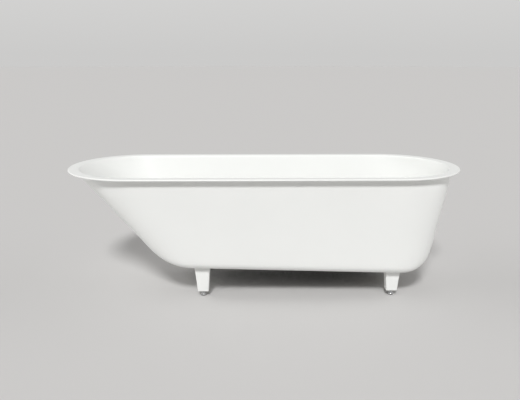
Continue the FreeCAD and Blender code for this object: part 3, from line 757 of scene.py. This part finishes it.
def dress(material, *nodes):
    """Give CAD nodes whose shape is right a finish."""
    for node in nodes:
        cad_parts[node].data.materials.clear()
        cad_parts[node].data.materials.append(material)


STAINLESS = machined("stainless_steel", (0.62, 0.63, 0.64, 1), (0.50, 0.51, 0.52, 1), 0.24, 0.00001)
BRASS = machined("turned_brass", (0.76, 0.58, 0.30, 1), (0.56, 0.41, 0.20, 1), 0.22, 0.00001)
dress(STAINLESS, "foot_screws", "foot_washers")
dress(BRASS, "foot_inserts", "glide_inserts")

# The waste: a polished flange with a dished seat screws down through the floor into an elbow of cast brass,
# and clamps the floor between two rubber rings. The flange has a cross of bars that holds the plug.

flange_low, flange_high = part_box("drain_flange")
LIP_RADIUS = 0.037
CREST_RADIUS = 0.033
DISH_RADIUS = 0.029
PLUG_SEAT_RADIUS = 0.024
THROAT_RADIUS = 0.0195
TUBE_RADIUS = 0.022
DISH_DEPTH = 0.005
DISH_WALL = 0.002
LIP_EDGE = 0.0012
LIP_UNDERCUT = 0.001
FLANGE_ROUND = 0.0005
BAR_ROUND = 0.0004
BAR_WIDTH = 0.004
HUB_RADIUS = 0.007
crest = flange_high.z
lip = seal_high.z
plug_seat = crest - DISH_DEPTH
waste_flange = turned("waste_flange", 96, [
    (LIP_RADIUS, lip), (LIP_RADIUS, lip + LIP_EDGE), (CREST_RADIUS, crest), (DISH_RADIUS, crest),
    (PLUG_SEAT_RADIUS, plug_seat), (THROAT_RADIUS, plug_seat), (THROAT_RADIUS, flange_low.z),
    (TUBE_RADIUS, flange_low.z), (TUBE_RADIUS, plug_seat - DISH_WALL),
    (PLUG_SEAT_RADIUS, plug_seat - DISH_WALL), (DISH_RADIUS - LIP_UNDERCUT, lip - DISH_WALL),
    (DISH_RADIUS - LIP_UNDERCUT, lip)],
    waste.x, waste.y, hollow=True, round_width=FLANGE_ROUND)
bars = []
for size_x, size_y in ((2 * THROAT_RADIUS, BAR_WIDTH), (BAR_WIDTH, 2 * THROAT_RADIUS)):
    bpy.ops.mesh.primitive_cube_add(size=1, location=(waste.x, waste.y, flange_low.z + BAR_WIDTH / 2))
    bar = bpy.context.object
    bpy.ops.object.mode_set(mode="EDIT")
    bpy.ops.transform.resize(value=(size_x, size_y, BAR_WIDTH))
    round_edges(lambda one, other: True, BAR_ROUND, steps=2)
    bpy.ops.object.mode_set(mode="OBJECT")
    bars.append(bar)
hub = turned("hub", 40, [(HUB_RADIUS, flange_low.z), (HUB_RADIUS, flange_low.z + BAR_WIDTH)],
             waste.x, waste.y, round_width=BAR_ROUND)
waste_flange = join_pieces("waste_flange", [waste_flange, hub] + bars)
smooth_flat(waste_flange)
CHROME = plated("polished_chrome", (0.80, 0.81, 0.82, 1), (0.72, 0.73, 0.75, 1), 0.045)
fit(waste_flange, CHROME, "bath", "chrome", "drain_flange")
dress(RUBBER, "drain_flange_seal", "drain_gasket")

# The elbow is sand-cast in one piece, so its outside is soft and grained, and only its bores and its two
# faces are machined. Well, collar and branch are melted into one skin before they are cut.

elbow_low, elbow_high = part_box("drain_elbow")
tube_low, tube_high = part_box("outlet_tube")
WELL_RADIUS = 0.027
WELL_ROUND = 0.009
COLLAR_RADIUS = 0.036
COLLAR_THICK = 0.005
BRANCH_RADIUS = 0.0235
CASTING_GRAIN = 0.0011
CUT_PAST = 0.004
SUMP_DEPTH = 0.002
outlet_z = (tube_low.z + tube_high.z) / 2
outlet_radius = (tube_high.z - tube_low.z) / 2
collar_z = elbow_high.z
well_arc = [(WELL_RADIUS - WELL_ROUND * (1 - sin(a)), elbow_low.z + WELL_ROUND * (1 - cos(a)))
            for a in quarter_turns]
elbow = turned("cast_elbow", 64, well_arc + [
    (WELL_RADIUS, collar_z - COLLAR_THICK), (COLLAR_RADIUS, collar_z - COLLAR_THICK),
    (COLLAR_RADIUS, collar_z + CUT_PAST)], waste.x, waste.y)
bpy.ops.mesh.primitive_cylinder_add(
    vertices=64, radius=BRANCH_RADIUS, depth=elbow_high.y + CUT_PAST, rotation=(pi / 2, 0, 0),
    location=(waste.x, (elbow_high.y + CUT_PAST) / 2, outlet_z))
branch = bpy.context.object
elbow = join_pieces("cast_elbow", [elbow, branch])
apply_modifier(elbow, "REMESH", mode="VOXEL", voxel_size=CASTING_GRAIN)
apply_modifier(elbow, "SMOOTH", factor=0.5, iterations=6)


def cut_away(piece, radius, depth, location, rotation):
    """Machine a round hole or a flat face with a cutter of that radius and depth."""
    bpy.ops.mesh.primitive_cylinder_add(
        vertices=72, radius=radius, depth=depth, location=location, rotation=rotation)
    cutter = bpy.context.object
    apply_modifier(piece, "BOOLEAN", object=cutter, operation="DIFFERENCE", solver="EXACT")
    bpy.data.objects.remove(cutter)


cut_away(elbow, 2 * COLLAR_RADIUS, 2 * CUT_PAST, (waste.x, waste.y, collar_z + CUT_PAST), (0, 0, 0))
cut_away(elbow, 2 * BRANCH_RADIUS, 2 * CUT_PAST, (waste.x, elbow_high.y + CUT_PAST, outlet_z), (pi / 2, 0, 0))
well_floor = outlet_z - outlet_radius - SUMP_DEPTH
cut_away(elbow, TUBE_RADIUS, collar_z + CUT_PAST - well_floor,
         (waste.x, waste.y, (collar_z + CUT_PAST + well_floor) / 2), (0, 0, 0))
cut_away(elbow, outlet_radius, elbow_high.y + CUT_PAST,
         (waste.x, (elbow_high.y + CUT_PAST) / 2, outlet_z), (pi / 2, 0, 0))
smooth_flat(elbow, degrees=50)


def sand_cast(name, light, dull):
    """Cast metal: dull, with the grain of the sand and darker patches of tarnish."""
    material, shade, shader = start_material(name)
    sand = shade.noise(800.0, detail=3.0)
    tarnish = shade.noise(30.0, detail=6.0)
    feed(shade, shader,
         Base_Color=shade.blend(light, dull, tarnish.sharpened(gain=2.2, cut=0.6)),
         Roughness=0.42 + tarnish * 0.22,
         Normal=shade.bump(sand, distance=0.00025))
    shader.inputs["Metallic"].default_value = 1.0
    return material


CAST_BRASS = sand_cast("cast_brass", (0.72, 0.54, 0.29, 1), (0.44, 0.31, 0.16, 1))
fit(elbow, CAST_BRASS, "bath", "brass", "drain_elbow")

# The outlet: a chromed brass tube of 38 mm, held in the elbow's branch by a rubber ring and a ribbed hand
# nut. The tube has a pressed mark near its end, which shows how far to push it into the next fitting.

MARK_DEPTH = 0.0004
MARK_WIDTH = 0.0024
MARK_FROM_END = 0.040
TUBE_WALL = 0.002
TUBE_END_ROUND = 0.0004
nut_low, nut_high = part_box("outlet_nut")
NUT_RADIUS = 0.028
NUT_BORE = 0.0236
NUT_LIP = 0.004
NUT_SIDES = 72
NUT_RIBS = 12
RIB_HEIGHT = 0.0023
RIB_FACES = 2.5
RIB_MARGIN = 0.001
NUT_ROUND = 0.0005
NUT_EDGE = 0.0015
NUT_DRAW = 0.0012
NUT_PLAY = 0.0003


def lay_along_y(piece, start):
    """Turn an upright piece about its foot, so that it runs back from a start along the outlet's axis."""
    piece.rotation_euler = (-pi / 2, 0, 0)
    piece.location = (waste.x, start, outlet_z)


length = tube_high.y - tube_low.y
mark = length - MARK_FROM_END
outlet = turned("outlet_pipe", 72, [
    (outlet_radius - TUBE_WALL, 0), (outlet_radius, 0), (outlet_radius, mark - MARK_WIDTH),
    (outlet_radius - MARK_DEPTH, mark - MARK_WIDTH * 2 / 3),
    (outlet_radius - MARK_DEPTH, mark - MARK_WIDTH / 3), (outlet_radius, mark), (outlet_radius, length),
    (outlet_radius - TUBE_WALL, length)],
    hollow=True, round_width=TUBE_END_ROUND)
smooth_flat(outlet)
lay_along_y(outlet, tube_low.y)
fit(outlet, CHROME, "bath", "chrome", "outlet_tube")

nut_length = nut_high.y - nut_low.y
nut = start_circle("ribbed_nut", NUT_SIDES, NUT_RADIUS, 0.0)
nut_rings = [
    (NUT_RADIUS, 0.0), (NUT_RADIUS, NUT_EDGE), (NUT_RADIUS, nut_length - NUT_EDGE),
    (NUT_RADIUS - NUT_DRAW, nut_length), (outlet_radius + NUT_PLAY, nut_length),
    (outlet_radius + NUT_PLAY, nut_length - NUT_LIP), (NUT_BORE, nut_length - NUT_LIP), (NUT_BORE, 0.0)]
bpy.ops.mesh.select_all(action="SELECT")
circles = pull_circles(Vector((0, 0, 0)), nut_rings)
pick(lambda point: point.index in circles[0] or point.index in circles[-1])
bpy.ops.mesh.bridge_edge_loops(type="SINGLE")
bpy.ops.mesh.select_all(action="SELECT")
bpy.ops.mesh.normals_make_consistent(inside=False)
bpy.ops.mesh.select_all(action="DESELECT")
bpy.context.tool_settings.mesh_select_mode = (False, False, True)
net = bmesh.from_edit_mesh(nut.data)
for face in net.faces:
    middle = face.calc_center_median()
    outside = middle.xy.length > NUT_RADIUS - RIB_MARGIN
    on_side = RIB_MARGIN < middle.z < nut_length - RIB_MARGIN
    turn = (middle.xy.angle_signed(Vector((1, 0))) / (2 * pi) * NUT_RIBS) % 1
    face.select_set(outside and on_side and turn < RIB_FACES * NUT_RIBS / NUT_SIDES)
bpy.ops.mesh.extrude_region_shrink_fatten(TRANSFORM_OT_shrink_fatten={"value": RIB_HEIGHT})
bpy.ops.object.mode_set(mode="OBJECT")
apply_modifier(nut, "BEVEL", width=NUT_ROUND, segments=3, limit_method="ANGLE", angle_limit=EDGE_ANGLE)
smooth_flat(nut)
lay_along_y(nut, nut_low.y)
fit(nut, CHROME, "bath", "chrome", "outlet_nut")
dress(RUBBER, "outlet_washer")

# The push-button plug: a polished domed cap with a soft ring under it, on a steel rod in a brass barrel. A
# toothed ring of white plastic on the rod turns at each press, and lets a spring lift the plug or holds it
# shut.

cap_low, cap_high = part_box("plug_cap")
ring_low, ring_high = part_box("plug_seal")
CAP_RADIUS = (cap_high.x - cap_low.x) / 2
CAP_CROWN = 0.0029
CAP_SKIRT_RADIUS = 0.0235
CAP_HOLLOW_RADIUS = 0.016
CAP_THICK = 0.0045
CAP_ROUND = 0.0005
CAP_FACE_INSET = 0.001
CAP_FACE = cap_high.z - CAP_THICK
CROWN_STEPS = 14
crown_radius = (CAP_RADIUS ** 2 + CAP_CROWN ** 2) / (2 * CAP_CROWN)
crown = []
for step in range(CROWN_STEPS):
    radius = CAP_RADIUS * (1 - step / CROWN_STEPS)
    crown.append((radius, cap_high.z - crown_radius + sqrt(crown_radius ** 2 - radius ** 2)))
cap = turned("plug_button", 96, [
    (CAP_HOLLOW_RADIUS - CAP_FACE_INSET, CAP_FACE), (CAP_HOLLOW_RADIUS, CAP_FACE),
    (CAP_HOLLOW_RADIUS, cap_low.z), (CAP_SKIRT_RADIUS, cap_low.z), (CAP_SKIRT_RADIUS, CAP_FACE),
    (CAP_RADIUS, CAP_FACE)] + crown,
    waste.x, waste.y, round_width=CAP_ROUND)
smooth_flat(cap)
fit(cap, CHROME, "plug", "chrome", "plug_cap")

SEAL_BORE = 0.017
SEAL_SIDE = [(0.0008, 0.0), (0.0, 0.0005), (0.0005, 0.0012)]
SEAL_TOP = [(0.0, 0.0004), (0.0003, 0.0)]
seal = turned("plug_ring", 96, [(SEAL_BORE, ring_low.z)] + [
    (CAP_SKIRT_RADIUS - inset, ring_low.z + up) for inset, up in SEAL_SIDE] + [
    (CAP_SKIRT_RADIUS - inset, ring_high.z - down) for inset, down in SEAL_TOP] + [
    (SEAL_BORE, ring_high.z)], waste.x, waste.y, hollow=True)
smooth_flat(seal, degrees=50)
fit(seal, RUBBER, "plug", "rubber", "plug_seal")


def moulded(name, light, dull):
    """Moulded engineering plastic: slightly waxy, with faint flow marks."""
    material, shade, shader = start_material(name)
    flow = shade.noise(160.0, detail=2.0)
    feed(shade, shader,
         Base_Color=shade.blend(light, dull, flow),
         Roughness=0.38 + flow * 0.12,
         Normal=shade.bump(flow, distance=0.00002))
    shader.inputs["Subsurface Weight"].default_value = 0.05
    return material


dress(moulded("white_acetal", (0.86, 0.86, 0.84, 1), (0.80, 0.80, 0.77, 1)), "click_cam")
dress(STAINLESS, "plug_plunger", "click_spring")
dress(BRASS, "click_housing", "click_gland")

# The floor is a wide matt sheet of pale grey, and past its edge the camera sees a backdrop of the same grey.
# Deep under the bath, where little of the front is in sight, a painted shadow makes the sheet's colour
# darker, as in the photograph.

FLOOR_RADIUS = 60.0
FLOOR_GREY = (0.604, 0.596, 0.590, 1)
FLOOR_PAINTED_SHADOW = (0.110, 0.109, 0.108, 1)
SIGHT_REACH = 0.6
FORWARD_AND_UP = {"Y": -0.5, "Z": 0.87}
PAINTED_SHADOW_BELOW = 0.22
PAINTED_SHADOW_ENDS_ABOVE = 0.32
bpy.ops.object.select_all(action="DESELECT")
bpy.ops.mesh.primitive_circle_add(vertices=64, radius=FLOOR_RADIUS, fill_type="NGON")
studio_floor = bpy.context.object
studio_floor.name = "studio_floor"
floor_material, floor_shade, floor_shader = start_material("studio_floor_painted_shadow")
forward = floor_shade.node("ShaderNodeCombineXYZ", FORWARD_AND_UP)
# Painted shadow: the floor's own colour goes dark grey where the bath hides the front and the key lamp.
open_to_key_side = floor_shade.node(
    "ShaderNodeAmbientOcclusion", {"Distance": SIGHT_REACH, "Normal": forward}, output="AO", samples=16)
outside_painted_shadow = ((open_to_key_side - PAINTED_SHADOW_BELOW) / (PAINTED_SHADOW_ENDS_ABOVE - PAINTED_SHADOW_BELOW)).clamped()
feed(floor_shade, floor_shader,
     Base_Color=floor_shade.blend(FLOOR_PAINTED_SHADOW, FLOOR_GREY, outside_painted_shadow))
floor_shader.inputs["Roughness"].default_value = 1.0
floor_shader.inputs["Specular IOR Level"].default_value = 0.0
studio_floor.data.materials.append(floor_material)

# Light: one large soft lamp in front, almost half of the way up, and a sky that is brightest at both sides
# and high behind the bath. What the camera sees of the sky, also in metal, is the grey of the backdrop.

KEY_ELEVATION = radians(39)
KEY_LEFT = radians(6)
KEY_SIZE = radians(10)
KEY_STRENGTH = 2.46
OVERHEAD_GLOW = 0.22
BEHIND_GLOW = 0.78
SIDE_GLOW = 2.3
MORE_ON_LEFT = 0.4
BACKDROP = 0.6
BACKDROP_HIGH = 0.65
BACKDROP_RISE = 12
SKY_TINT = (1, 0.995, 0.985, 1)
bpy.ops.object.light_add(type="SUN", location=(0, -4, 3), rotation=(pi / 2 - KEY_ELEVATION, 0, -KEY_LEFT))
key = bpy.context.object
key.name = "key_light"
key.data.energy = KEY_STRENGTH
key.data.angle = KEY_SIZE

world = bpy.data.worlds.new("studio")
bpy.context.scene.world = world
world.use_nodes = True
sky = Shade(world.node_tree)
direction = sky.node("ShaderNodeTexCoord", output="Generated")
aside, behind, above = [
    sky.node("ShaderNodeSeparateXYZ", {"Vector": direction}, output=axis) for axis in "XYZ"]
sideways = aside * aside
glow = (above.clamped() * above.clamped() * OVERHEAD_GLOW + behind.clamped() * above.clamped() * BEHIND_GLOW
        + sideways * sideways * (SIDE_GLOW - aside * MORE_ON_LEFT))
camera_ray, glossy_ray, transmission_ray = [
    sky.node("ShaderNodeLightPath", output=kind)
    for kind in ("Is Camera Ray", "Is Glossy Ray", "Is Transmission Ray")]
seen = (camera_ray + glossy_ray + transmission_ray).clamped()
backdrop = (above * BACKDROP_RISE).clamped() * (BACKDROP_HIGH - BACKDROP) + BACKDROP
strength = glow * (1 - seen) + backdrop * seen
background = world.node_tree.nodes["Background"]
background.inputs["Color"].default_value = SKY_TINT
world.node_tree.links.new(strength.socket, background.inputs["Strength"])

# The camera stands where the photograph was taken, a little above the rim and square to the bath's side.

PHOTO_PLACE = (-0.0665, -3.2334, 1.059)
PHOTO_TILT = radians(78.36)
PHOTO_TURN = radians(-0.842)
PHOTO_LENS = 49.08
bpy.ops.object.camera_add(location=PHOTO_PLACE, rotation=(PHOTO_TILT, 0, PHOTO_TURN))
camera = bpy.context.object
camera.name = "photo_camera"
camera.data.sensor_width = 36.0
camera.data.lens = PHOTO_LENS
bpy.context.scene.camera = camera
bpy.context.scene.view_settings.view_transform = "Standard"
